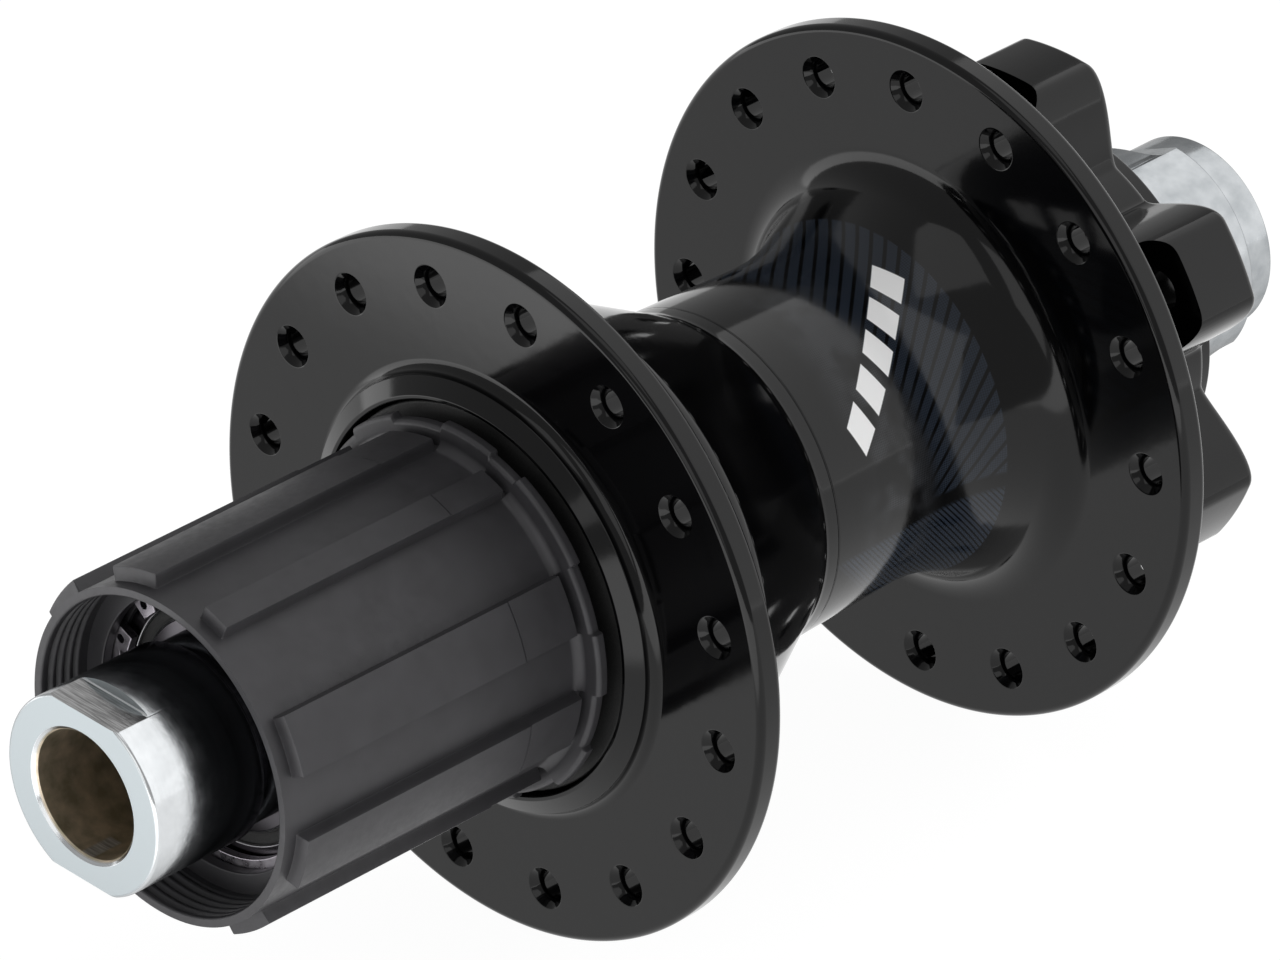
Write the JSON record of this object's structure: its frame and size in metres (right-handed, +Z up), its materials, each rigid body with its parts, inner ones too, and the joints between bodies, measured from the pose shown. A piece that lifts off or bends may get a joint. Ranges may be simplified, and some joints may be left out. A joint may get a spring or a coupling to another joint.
{
  "type": "bicycle rear hub",
  "caption": "Thru-axle bicycle rear hub with drilled spoke flanges, bolt-on disc rotor mount, splined freehub on a pawl ratchet, and silver end caps on a hollow axle.",
  "frame": {"origin": "on the axle line, midway between the two dropout faces", "axes": "+X along the axle to the drive side, +Y forward on the bicycle, +Z up"},
  "size_m": [0.142, 0.0678, 0.0678],
  "materials": {
    "gloss_black_shell": "gloss black anodised alloy with a printed barrel wrap",
    "grey_freehub": "satin dark grey anodised",
    "silver_alloy": "turned and polished",
    "dark_alloy": "machined, bronze-grey inside",
    "bearing_steel": "ground steel",
    "spring_steel": "dark spring steel",
    "seal_rubber": "matt black rubber"
  },
  "bodies": {
    "axle": {"axle_tube": "dark_alloy", "drive_end_cap": "silver_alloy", "disc_end_cap": "silver_alloy", "drive_cap_o_ring": "seal_rubber", "disc_cap_o_ring": "seal_rubber", "shell_to_freehub_spacer": "silver_alloy", "freehub_inner_spacer": "silver_alloy", "shell_drive_bearing_inner_race": "bearing_steel", "shell_disc_bearing_inner_race": "bearing_steel", "freehub_inboard_bearing_inner_race": "bearing_steel", "freehub_outboard_bearing_inner_race": "bearing_steel"},
    "shell": {"hub_shell": "gloss_black_shell", "ratchet_ring": "bearing_steel", "freehub_lip_seal": "seal_rubber", "disc_side_dust_seal": "seal_rubber", "shell_drive_bearing_outer_race": "bearing_steel", "shell_drive_bearing_seal": "seal_rubber", "shell_disc_bearing_outer_race": "bearing_steel", "shell_disc_bearing_seal": "seal_rubber"},
    "freehub": {"freehub_body": "grey_freehub", "freehub_outer_spacer": "silver_alloy", "freehub_circlip": "spring_steel", "freehub_inboard_bearing_outer_race": "bearing_steel", "freehub_inboard_bearing_seal": "seal_rubber", "freehub_outboard_bearing_outer_race": "bearing_steel", "freehub_outboard_bearing_seal": "seal_rubber", "pawl_spring_1": "spring_steel", "pawl_spring_2": "spring_steel", "pawl_spring_3": "spring_steel", "pawl_spring_4": "spring_steel"},
    "pawl_top": {"pawl_1": "bearing_steel"},
    "pawl_back": {"pawl_2": "bearing_steel"},
    "pawl_bottom": {"pawl_3": "bearing_steel"},
    "pawl_front": {"pawl_4": "bearing_steel"},
    "shell_drive_balls": {"shell_drive_bearing_balls": "bearing_steel"},
    "shell_disc_balls": {"shell_disc_bearing_balls": "bearing_steel"},
    "freehub_inboard_balls": {"freehub_inboard_bearing_balls": "bearing_steel"},
    "freehub_outboard_balls": {"freehub_outboard_bearing_balls": "bearing_steel"}
  },
  "joints": [
    {"name": "shell_spin", "type": "hinge", "parent": "axle", "child": "shell", "pos_m": [0, 0, 0], "axis": [1, 0, 0], "continuous": true},
    {"name": "freehub_spin", "type": "hinge", "parent": "axle", "child": "freehub", "pos_m": [0, 0, 0], "axis": [1, 0, 0], "continuous": true},
    {"name": "pawl_top_lift", "type": "hinge", "parent": "freehub", "child": "pawl_top", "pos_m": [0.0172, 0, 0.0132], "axis": [1, 0, 0], "range_deg": [0, 18]},
    {"name": "pawl_back_lift", "type": "hinge", "parent": "freehub", "child": "pawl_back", "pos_m": [0.0172, -0.0132, 0], "axis": [1, 0, 0], "range_deg": [0, 18]},
    {"name": "pawl_bottom_lift", "type": "hinge", "parent": "freehub", "child": "pawl_bottom", "pos_m": [0.0172, 0, -0.0132], "axis": [1, 0, 0], "range_deg": [0, 18]},
    {"name": "pawl_front_lift", "type": "hinge", "parent": "freehub", "child": "pawl_front", "pos_m": [0.0172, 0.0132, 0], "axis": [1, 0, 0], "range_deg": [0, 18]},
    {"name": "shell_drive_balls_roll", "type": "hinge", "parent": "axle", "child": "shell_drive_balls", "pos_m": [0.008, 0, 0], "axis": [1, 0, 0], "continuous": true},
    {"name": "shell_disc_balls_roll", "type": "hinge", "parent": "axle", "child": "shell_disc_balls", "pos_m": [-0.049, 0, 0], "axis": [1, 0, 0], "continuous": true},
    {"name": "freehub_inboard_balls_roll", "type": "hinge", "parent": "axle", "child": "freehub_inboard_balls", "pos_m": [0.0246, 0, 0], "axis": [1, 0, 0], "continuous": true},
    {"name": "freehub_outboard_balls_roll", "type": "hinge", "parent": "axle", "child": "freehub_outboard_balls", "pos_m": [0.0518, 0, 0], "axis": [1, 0, 0], "continuous": true}
  ],
  "couplings": [
    {"joint": "pawl_back_lift", "follows": "pawl_top_lift", "ratio": 1},
    {"joint": "pawl_bottom_lift", "follows": "pawl_top_lift", "ratio": 1},
    {"joint": "pawl_front_lift", "follows": "pawl_top_lift", "ratio": 1},
    {"joint": "shell_drive_balls_roll", "follows": "shell_spin", "ratio": 0.5745},
    {"joint": "shell_disc_balls_roll", "follows": "shell_spin", "ratio": 0.5745},
    {"joint": "freehub_inboard_balls_roll", "follows": "freehub_spin", "ratio": 0.5558},
    {"joint": "freehub_outboard_balls_roll", "follows": "freehub_spin", "ratio": 0.5558}
  ]
}
